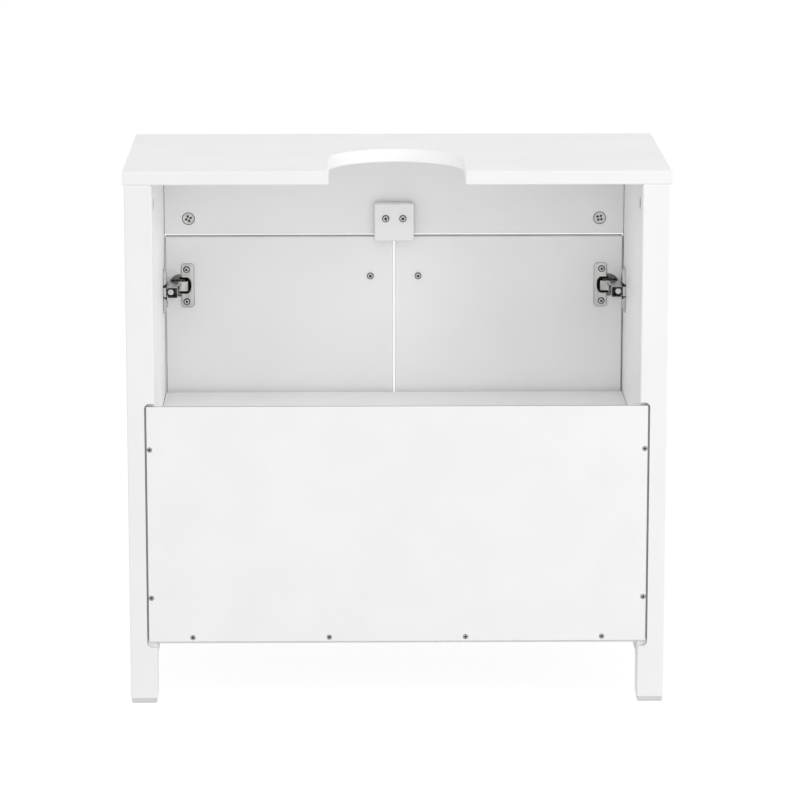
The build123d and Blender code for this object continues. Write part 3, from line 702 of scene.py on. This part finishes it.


def cam(cross_turn):
    """A cam with its face at height 0, its mouth towards +X and its cross turned by this much."""
    drum = lathe([(0, -0.25), (5.6, -0.25), (6.1, 0.0), (6.65, 0.0), (7.1, -0.3), (CAM_RADIUS, -0.8),
                  (CAM_RADIUS, -CAM_HEIGHT), (0, -CAM_HEIGHT)], 56)
    mouth = box((-CAM_MOUTH, 9), (-CAM_MOUTH, CAM_MOUTH), (-CAM_AXIS - CAM_MOUTH, -CAM_AXIS + CAM_MOUTH))
    arrow = slab([(6.0, 0), (4.9, 0.75), (4.9, -0.75)], -0.6, 0.5)
    cross = [blade(*CAM_CROSS, cross_turn + quarter) for quarter in (0, pi / 2)]
    pockets = [moved(blade(*CAM_POCKET, 0), Matrix.Rotation(cross_turn + k * pi / 2, 4, "Z")
                     @ Matrix.Translation((POCKET_OUT, 0, 0))) for k in range(4)]
    face = cut(smooth(drum, 50.0), mouth, arrow, *cross, *pockets)
    # painted shade in the pockets and on the cross's walls, then on the rim
    face = paint(face, 1, lambda c: -2.9 < c.z < -0.35 and 1.2 < c.xy.length < 4.4)
    return paint(face, 1, lambda c: c.xy.length > DARK_RIM and c.z > -1.0)


print("a cam has", len(cam(0.0).polygons), "faces")

# %% [markdown]
# ## Cams in the boards
# Each board's cams share one CAD node, so their places come from the corners of that node's box. The rail's
# cams face back, the top board's sit in the side panels and face inward, and the others face down. Turned
# home, a cross points anywhere, so each has its own number of degrees.

# %% Cams in the boards
CAM_TURNS = {"rail": (55.0, 18.0), "top": (10.0, 35.0, 60.0, 85.0),
             "shelf": (20.0, 48.0, 5.0, 70.0), "bottom": (62.0, 30.0, 80.0, 12.0)}
EDGE = CAM_RADIUS * MM


def cam_spot(label, side, y, low, high):
    """A cam's middle, the way its face looks and the way its mouth opens."""
    if label == "rail":
        return (side * (high.x - EDGE), y, (low.z + high.z) / 2), BACK, (side, 0, 0)
    if label == "top":
        return (side * side_x, y, (low.z + high.z) / 2), (-side, 0, 0), (0, 0, 1)
    return (side * (high.x - EDGE), y, low.z), (0, 0, -1), (side, 0, 0)


for label, cross_turns in CAM_TURNS.items():
    low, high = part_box(f"{label}_cams")
    rows = (high.y,) if label == "rail" else (low.y + EDGE, high.y - EDGE)
    spots = [cam_spot(label, side, y, low, high) for side in (-1, 1) for y in rows]
    copies = [(cam(radians(t)), place(*spot)) for t, spot in zip(cross_turns, spots)]
    fit(f"{label}_cast_cams", copies, "cabinet", (cast_zinc, painted_shade_zinc), "zinc_alloy", f"{label}_cams")

# %% [markdown]
# ## Hinge cup
# The cup is drawn from steel strip, with a rolled rim that rests on the door's back and a flange to one
# side for two screws. A turned profile gives the bowl and a flat outline the flange. The door's front is at
# v = 0 and its back at v = 15.

# %% Cup's bowl and flange
CUP_MIDDLE, CUP_OUTER, CUP_INNER, CUP_FLOOR, CUP_FRONT, DOOR_BACK = 18.6, 12.95, 12.4, 2.8, 2.2, 15.0
FLANGE_U, FLANGE_HALF, FLANGE_TOP = (19.6, 34.6), 26.0, 16.0
PIN_U, PIN_V = 11.5, 4.8
CUP_STEPS = 64
to_cup = Matrix.Translation((CUP_MIDDLE, 0, 0)) @ ALONG_Y

bowl = moved(lathe([
    (0, CUP_FRONT), (11.4, CUP_FRONT), (12.5, 2.6), (CUP_OUTER, 3.6), (CUP_OUTER, DOOR_BACK),
    (13.6, DOOR_BACK), (13.8, 15.25), (13.7, 15.55), (13.2, 15.7), (12.75, 15.55), (CUP_INNER, 15.1),
    (CUP_INNER, 4.2), (12.0, 3.3), (11.2, CUP_FLOOR), (0, CUP_FLOOR)], CUP_STEPS), to_cup)
flange = box((-FLANGE_HALF, FLANGE_HALF), FLANGE_U, (DOOR_BACK, FLANGE_TOP), near=3.0, far=3.5)
flange = moved(soften(flange, 0.4), ALONG_Y)
print("bowl:", len(bowl.polygons), "faces")

# %% [markdown]
# ## The cup's mouth and ears
# The mouth is narrower than the bowl: the flange reaches over it on one side and a sunk ledge on the other,
# so one T-shaped tool cuts both, and its narrow end leaves room for the arm's neck. Each screw sits in a
# shallow dimple. Two ears inside hold the pin on which the arm turns, and are cut to the bowl's outside, so
# that nothing pokes into the door.

# %% Mouth, ledge and dimples
MOUTH_HALF, MOUTH_FAR, NECK_ROOM, LEDGE_FROM, LEDGE_V = 9.7, 31.2, 6.6, 17.1, (12.7, 13.4)
CUP_SCREW_U, CUP_SCREW_W, DIMPLE_RADIUS, DIMPLE_DEPTH = 25.6, 19.0, 4.2, 0.45
mouth = moved(slab(rounded([
    (-MOUTH_HALF, MOUTH_FAR, 5.0), (MOUTH_HALF, MOUTH_FAR, 5.0), (MOUTH_HALF, LEDGE_FROM, 1.0),
    (NECK_ROOM, LEDGE_FROM, 0.5), (NECK_ROOM, 4.0, 0), (-NECK_ROOM, 4.0, 0), (-NECK_ROOM, LEDGE_FROM, 0.5),
    (-MOUTH_HALF, LEDGE_FROM, 1.0)]), 10.0, 20.0), ALONG_Y)
ledge = moved(lathe([(0, LEDGE_V[0]), (CUP_OUTER - 0.2, LEDGE_V[0]), (CUP_OUTER - 0.2, LEDGE_V[1]),
                     (0, LEDGE_V[1])], CUP_STEPS), to_cup)
dimple = lathe([(0, -DIMPLE_DEPTH), (DIMPLE_RADIUS - 0.4, -DIMPLE_DEPTH), (DIMPLE_RADIUS, 0.5), (0, 0.5)], 40)
dimples = [moved(dimple.copy(), Matrix.Translation((CUP_SCREW_U, FLANGE_TOP, w)) @ ALONG_Y)
           for w in (-CUP_SCREW_W, CUP_SCREW_W)]
cup = cut(bowl, cut(flange, mouth, *dimples), cut(ledge, mouth), operation="UNION")
print("cup with its mouth:", len(cup.polygons), "faces")

# %% Ears
EAR_HALF, EAR_CORNER, EAR_W = 2.6, 2.5, (6.3, 12.9)
bowl_outside = moved(lathe([(0, 0), (CUP_OUTER, 0), (CUP_OUTER, 14.5), (0, 14.5)], CUP_STEPS), to_cup)
for way in (-1, 1):
    ear = box((PIN_U - EAR_HALF, PIN_U + EAR_HALF), (CUP_FRONT + 0.3, PIN_V + EAR_HALF), EAR_W, far=EAR_CORNER)
    if way < 0:
        ear = moved(ear, Matrix.Scale(-1, 4, (0, 0, 1)))
    cup = cut(cup, cut(ear, bowl_outside, operation="INTERSECT"), operation="UNION")
cup.validate()  # drops the few faces that an ear and the bowl's wall both left
print("cup with its ears:", len(cup.polygons), "faces")

# %% [markdown]
# ## The cup's finishes
# The inside of the bowl and the dimples get a near-black painted shade. The ledge and the flange's rounded
# edge get a grey painted shade: at a distance they draw the flange's outline.

# %% Cup's finishes
EDGE_WIDTH = 0.45  # how far in from its outline the flange's edge gets grey painted shade


def in_bowl(c):
    return c.y < FLANGE_TOP - 0.3 and Vector((c.x - CUP_MIDDLE, c.z)).length < CUP_INNER + 0.1


def in_dimple(c):
    return c.y < FLANGE_TOP - 0.1 and Vector((c.x - CUP_SCREW_U, abs(c.z) - CUP_SCREW_W)).length < DIMPLE_RADIUS


def on_ledge(c):
    return abs(c.y - LEDGE_V[1]) < 0.05 and c.x < 21.6


def on_flange_edge(c):
    at_ends = abs(c.z) > FLANGE_HALF - EDGE_WIDTH or c.x > FLANGE_U[1] - EDGE_WIDTH
    beside_bowl = c.x < FLANGE_U[0] + EDGE_WIDTH and abs(c.z) > 14.0
    return c.y > DOOR_BACK + 0.1 and (at_ends or beside_bowl)


PAINTED_SHADE, PAINTED_HALF_SHADE = 1, 2  # which of a hinge's finishes: near-black and grey painted shade; 0 is bright
cup = smooth(cup)
# painted shade: near black in the bowl and dimples, grey on the ledge and the flange's edge
for finish, test in ((PAINTED_SHADE, in_bowl), (PAINTED_SHADE, in_dimple), (PAINTED_HALF_SHADE, on_ledge), (PAINTED_HALF_SHADE, on_flange_edge)):
    cup = paint(cup, finish, test)
print("cup's faces that aren't bright:", sum(face.material_index > 0 for face in cup.polygons))

# %% [markdown]
# ## Hinge arm
# The arm is a gooseneck: from the pin in the cup it comes straight out, turns over the door's swinging
# corner and runs back as a channel along the cabinet's side. A slot takes the side screw, and a pressed
# bead stiffens the back. The sheared outer edge at its rear end and the inside of the channel get a near-black
# painted shade.

# %% Arm shape
ARM_HALF, ARM_BACK_U, ARM_WALL_U, ARM_END = 5.8, 16.6, 5.4, 65.0
RISER_U, BRIDGE_V, NECK_V = (23.5, 27.5), (19.89, 22.29), (2.95, 7.35)
SHEET = 1.3
EYE_U = 9.65  # the rounded end that wraps the pin
arm = slab(rounded([
    (EYE_U, NECK_V[0], 1.8), (RISER_U[1], NECK_V[0], 2.2), (RISER_U[1], BRIDGE_V[1], 2.2),
    (ARM_BACK_U, BRIDGE_V[1], 0.9), (ARM_BACK_U, ARM_END, 0), (ARM_WALL_U, ARM_END, 0),
    (ARM_WALL_U, BRIDGE_V[0], 1.0), (RISER_U[0], BRIDGE_V[0], 1.2), (RISER_U[0], NECK_V[1], 1.2),
    (12.4, NECK_V[1], 0.8), (EYE_U, 6.65, 1.5)]), -ARM_HALF, ARM_HALF)
arm = soften(arm, 0.55, 3)
channel = box((0, ARM_BACK_U - SHEET), (BRIDGE_V[1], 80), (SHEET - ARM_HALF, ARM_HALF - SHEET))
slot = moved(box((31.0, 40.5), (-2.2, 2.2), (14.0, 18.0), near=2.15, far=2.15), ALONG_X)
bead = moved(soften(box((45.0, 60.0), (-1.5, 1.5), (15.9, 17.0), near=1.45, far=1.45), 0.4), ALONG_X)
arm = smooth(cut(cut(arm, channel, slot), bead, operation="UNION"))
print("arm:", len(arm.polygons), "faces")

# %% Arm's finishes
SHADED_EDGE = 0.6  # width of the rear edge's painted shade


def in_channel(c):
    inside = abs(c.z) < ARM_HALF - SHEET + 0.05 and c.x < ARM_BACK_U - SHEET + 0.05
    return c.y > BRIDGE_V[1] + 0.1 and inside


def on_rear_edge(c):
    return c.y > ARM_END - SHADED_EDGE and (abs(c.z) > ARM_HALF - SHADED_EDGE or c.x > ARM_BACK_U - SHADED_EDGE)


# painted shade inside the channel and on the rear edge
arm = paint(paint(arm, PAINTED_SHADE, in_channel), PAINTED_SHADE, on_rear_edge)
print("arm's dark faces:", sum(face.material_index > 0 for face in arm.polygons))

# %% [markdown]
# ## Mounting plate
# The plate is cast, then plated. Its two wings are screwed to the side panel, and the saddle in its middle
# fills the arm's channel. Beside the arm each wing has a notch, where the arm's rear end snaps down. Cast
# edges are round, so each block is softened before it is welded to the next. The countersinks are a hair
# wider than the heads, which leaves the thin ring one sees round them. The notches and the saddle's rear
# end get a near-black painted shade.

# %% Plate shape
PLATE_TOP, WING_V, WING_HALF, WING_FLAT, WING_TIP = 4.0, (42.0, 58.0), 26.0, 20.0, 1.2
PLATE_V, TAIL_HALF, SADDLE_V = (24.0, 62.0), 7.5, (27.0, 58.0)
SADDLE_HALF, SADDLE_TOP = 4.35, 15.3
PLATE_SCREW_V, PLATE_SCREW_W = 50.0, 16.0

wings = moved(slab(rounded([
    (-WING_HALF, 0, 0), (-WING_HALF, WING_TIP, 0.6), (-WING_FLAT, PLATE_TOP, 3.0), (WING_FLAT, PLATE_TOP, 3.0),
    (WING_HALF, WING_TIP, 0.6), (WING_HALF, 0, 0)]), *WING_V), ALONG_Y)
tail = moved(box(PLATE_V, (-TAIL_HALF, TAIL_HALF), (0, PLATE_TOP - 0.2), near=2.0, far=2.0), ALONG_X)
saddle = soften(box((0.5, SADDLE_TOP), SADDLE_V, (-SADDLE_HALF, SADDLE_HALF)), 0.4)
sink = lathe([(0, 1), (3.75, 1), (3.75, 0), (1.9, -1.9), (1.9, -5), (0, -5)], 32)
sinks = [moved(sink.copy(), Matrix.Translation((PLATE_TOP, PLATE_SCREW_V, w)) @ ALONG_X)
         for w in (-PLATE_SCREW_W, PLATE_SCREW_W)]
NOTCH_W, NOTCH_V = (5.6, 11.8), (50.0, 63.0)
notch_corners = ((NOTCH_W[0], 5), (NOTCH_W[1], 5), (NOTCH_W[0], 0.3))
notches = [moved(slab([(way * w, u) for w, u in notch_corners], *NOTCH_V), ALONG_Y) for way in (-1, 1)]
plate = cut(cut(soften(wings, 0.5), soften(tail, 0.5), saddle, operation="UNION"), *sinks, *notches)
plate = smooth(plate)
print("plate:", len(plate.polygons), "faces")

# %% Plate's finishes
def in_notch(c):
    return c.y > NOTCH_V[0] - 0.1 and NOTCH_W[0] - 0.05 < abs(c.z) < NOTCH_W[1] and c.x < PLATE_TOP - 0.3


def on_saddle_end(c):
    return c.y > SADDLE_V[1] - 0.3 and c.x > PLATE_TOP + 0.2


# painted shade on the saddle's rear end and in the notches
plate = paint(paint(plate, PAINTED_SHADE, on_saddle_end), PAINTED_SHADE, in_notch)
print("plate's dark faces:", sum(face.material_index > 0 for face in plate.polygons))

# %% [markdown]
# ## Hinges in place
# The cups go with the doors, the arms and plates stay with the cabinet. The pins stay as the CAD made them:
# each runs through its arm's eye and both ears.

# %% Hinges
HINGE_PIECES = (("cup", cup, (nickel, painted_shade_steel, nickel_painted_half_shade), "hinge_cup"),
                ("gooseneck", arm, (nickel, painted_shade_steel), "hinge_arm"),
                ("plate", plate, (nickel, painted_shade_steel), "mounting_plate"))
for (name, level), spot in hinges.items():
    for label, mesh, finishes, node in HINGE_PIECES:
        body = f"{name}_leaf" if label == "cup" else "cabinet"
        fit(f"{name}_{level}_{label}", [(mesh, spot)], body, finishes, "nickel_plated_steel",
            f"{name}_{level}_{node}")

# %% [markdown]
# ## Screws in the hinges
# Two screws hold each cup in its door and two hold each plate on the side panel. One small screw through
# the arm's slot sets the door sideways, and a wide one at the saddle's rear end clamps the arm.

# %% Screws in the hinges
CUP_SCREW = (3.7, 1.7, 1.6, 10.5)
PLATE_SCREW = (3.4, 1.8, 1.7, 16.0)
SIDE_SCREW, SIDE_SCREW_V = (2.9, 1.6, 2.0, 10.0), 35.0
CLAMP_SCREW, CLAMP_SCREW_U = (3.9, 2.4, 2.0, 13.0), 9.0


def hinge_spots(points, axis, name=None):
    """Places at these u, v, w points on every hinge, or on one door's hinges."""
    return [spot @ Matrix.Translation(p) @ axis
            for key, spot in hinges.items() if name in (None, key[0]) for p in points]


for name in SIDES:
    screws(f"{name}_cup_fixings", pan_head, CUP_SCREW,
           hinge_spots([(CUP_SCREW_U, FLANGE_TOP, w) for w in (-CUP_SCREW_W, CUP_SCREW_W)], ALONG_Y, name),
           f"{name}_leaf", f"{name}_cup_screws")
    screws(f"{name}_plate_fixings", sunk_head, PLATE_SCREW,
           hinge_spots([(PLATE_TOP, PLATE_SCREW_V, w) for w in (-PLATE_SCREW_W, PLATE_SCREW_W)], ALONG_X, name),
           "cabinet", f"{name}_plate_screws")
screws("side_adjusters", pan_head, SIDE_SCREW, hinge_spots([(ARM_BACK_U, SIDE_SCREW_V, 0)], ALONG_X),
       "cabinet", "arm_side_screws")
screws("rear_clamps", dished_head, CLAMP_SCREW, hinge_spots([(CLAMP_SCREW_U, SADDLE_V[1], 0)], ALONG_Y),
       "cabinet", "arm_rear_screws")

# %% [markdown]
# ## Knobs
# A turned knob has a small foot, a waist that fingers can close round, and a mushroom head with a rounded
# rim. Its profile is a few points in millimetres, joined by a Catmull-Rom spline, which bends smoothly and
# still meets every point.

# %% Knob profile
def through(points, steps=6):
    """A smooth run through the points."""
    ends = [points[0], *points, points[-1]]
    run = []
    for a, b, c, d in zip(ends, ends[1:], ends[2:], ends[3:]):
        for i in range(steps):
            t = i / steps
            run.append(tuple(0.5 * (2 * q + (r - p) * t + (2 * p - 5 * q + 4 * r - s) * t ** 2
                                    + (3 * q - p - 3 * r + s) * t ** 3) for p, q, r, s in zip(a, b, c, d)))
    return run + [points[-1]]


foot = [(0, 0), (7.2, 0), (7.5, 0.3), (7.5, 2.0), (7.2, 2.5)]
waist = through([(7.2, 2.5), (5.8, 4.2), (5.0, 7.0), (5.5, 11.0), (8.0, 14.0), (11.2, 15.5)])
head = through([(11.2, 15.5), (12.6, 16.6), (13.0, 18.4), (12.5, 20.2), (10.6, 21.8), (6.0, 23.5), (0.0, 24.0)])
knob_mesh = smooth(lathe([*foot[:-1], *waist, *head[1:-1], (0, 24.0)], 72))
print("knob:", len(knob_mesh.polygons), "faces")

# %% Knobs on the doors
for name, side in SIDES.items():
    low, high = knob_place[name]
    spot = Matrix.Translation(((low.x + high.x) / 2, front_y, (low.z + high.z) / 2))
    piece = new_object(f"{name}_turned_knob", knob_mesh.copy())
    piece.data.materials.append(turned_nickel)
    piece.data.transform(Matrix.Scale(MM, 4))
    piece.matrix_world = spot @ Matrix.Rotation(pi / 2, 4, "X")
    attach(piece, f"{name}_leaf")
    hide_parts(f"{name}_knob")
    print(piece.name, "at", [round(v, 4) for v in piece.location])

# %% [markdown]
# ## The floor
# The picture has a pure white ground. Light that bounces sees an ordinary matt white floor, while the
# camera and mirror-like reflections see it lifted to white, with only a faint shadow left. A light path
# node tells the two apart.

# %% Floor's sheet
FLOOR_HALF = 60.0
floor_mesh = bpy.data.meshes.new("floor")
floor_mesh.from_pydata([(x * FLOOR_HALF, y * FLOOR_HALF, 0) for x, y in CORNERS], [], [(0, 1, 2, 3)])
floor = new_object("floor", floor_mesh)
print("floor:", 2 * FLOOR_HALF, "m across")

# %% Floor's paint
FLOOR_BOUNCE, FLOOR_SHADOW, FLOOR_LIFT = 0.8, 0.15, 0.91  # matt white, what shows shadow, and its glow


def grey(level):
    """An even grey as linear RGBA."""
    return (level, level, level, 1)


def seen_by_eye(tree):
    """1 for rays from the camera, in mirrors or through glass, and 0 for light that bounces."""
    path = add_node(tree, "ShaderNodeLightPath").outputs
    seen = path["Is Camera Ray"]
    for ray in ("Is Glossy Ray", "Is Transmission Ray"):
        seen = add_node(tree, "ShaderNodeMath", {"operation": "MAXIMUM"},
                        links={0: seen, 1: path[ray]}).outputs[0]
    return seen


floor_paint, tree, output, _ = empty_material("matt_white_floor")
bounce = add_node(tree, "ShaderNodeBsdfDiffuse", values={"Color": grey(FLOOR_BOUNCE)})
shadow = add_node(tree, "ShaderNodeBsdfDiffuse", values={"Color": grey(FLOOR_SHADOW)})
lift = add_node(tree, "ShaderNodeEmission", values={"Color": grey(1), "Strength": FLOOR_LIFT})
lifted = add_node(tree, "ShaderNodeAddShader", links={0: shadow.outputs[0], 1: lift.outputs[0]})
choice = add_node(tree, "ShaderNodeMixShader",
                  links={0: seen_by_eye(tree), 1: bounce.outputs[0], 2: lifted.outputs[0]})
tree.links.new(choice.outputs[0], output.inputs["Surface"])
floor_mesh.materials.append(floor_paint)
print("made", floor_paint.name)

# %% [markdown]
# ## The world
# The world is an even white, which gives the soft light of a studio. The eye and mirrors see it as pure
# white, and the light it throws on the cabinet is a little weaker.

# %% World
WORLD_LEVEL = 0.71
world = bpy.data.worlds.new("white_room")
bpy.context.scene.world = world
world.use_nodes = True
tree = world.node_tree
tree.nodes.clear()
level = add_node(tree, "ShaderNodeMapRange", values={"To Min": WORLD_LEVEL, "To Max": 1.0},
                 links={"Value": seen_by_eye(tree)})
sky = add_node(tree, "ShaderNodeBackground", values={"Color": grey(1)}, links={"Strength": level.outputs[0]})
add_node(tree, "ShaderNodeOutputWorld", links={"Surface": sky.outputs[0]})
print("made", world.name)

# %% [markdown]
# ## The lamps
# Three large soft lamps stand behind the camera: the key far to the right of the picture, a weaker one far
# to the left, and one above. They give the boards their slight difference from left to right.

# %% Lamps
LAMPS = {  # degrees towards the right of the picture, degrees up, watts
    "key": (60.0, 15.0, 43.0),
    "side": (-60.0, 15.0, 12.0),
    "top": (0.0, 50.0, 20.0),
}
LAMP_DISTANCE, LAMP_SIDE = 4.0, 1.6  # metres


def lamp(name, size, watts, spot, shine_from):
    """A flat lamp at a spot, which shines away from the direction shine_from."""
    data = bpy.data.lights.new(name, "AREA")
    data.shape, data.size, data.size_y, data.energy = "RECTANGLE", size[0], size[1], watts
    holder = new_object(name, data)
    holder.location = spot
    holder.rotation_euler = shine_from.to_track_quat("Z", "Y").to_euler()
    return holder


middle = (cad_box[0] + cad_box[1]) / 2
for name, (swing, rise, watts) in LAMPS.items():
    swing, rise = radians(swing), radians(rise)
    toward = Vector((-sin(swing) * cos(rise), cos(swing) * cos(rise), sin(rise)))
    lamp(name, (LAMP_SIDE, LAMP_SIDE), watts, middle + toward * LAMP_DISTANCE, toward)
print("lamps:", [light.name for light in bpy.data.lights])

# %% [markdown]
# ## Light inside
# A wide weak panel stands in the open back and fills the inside, as a photographer's white card would. The
# camera and the bright metal don't see it. It is narrower than the opening, so that no bright strip falls
# on the side panels.

# %% Fill and view
FILL_WATTS, FILL_WIDTH = 0.125, 1.4 * side_x
FILL_BELOW_TOP, FILL_FROM_BACK = 5 * MM, 12 * MM
way_in_low, way_in_high = panel_high.z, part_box("top_board")[0].z - FILL_BELOW_TOP
fill_spot = Vector((0, panel_high.y - FILL_FROM_BACK, (way_in_low + way_in_high) / 2))
fill = lamp("fill", (FILL_WIDTH, way_in_high - way_in_low), FILL_WATTS, fill_spot, Vector(BACK))
fill.visible_camera = fill.visible_glossy = False
bpy.context.scene.view_settings.view_transform = "Standard"
print("fill:", [round(v, 3) for v in (FILL_WIDTH, way_in_high - way_in_low)], "m")
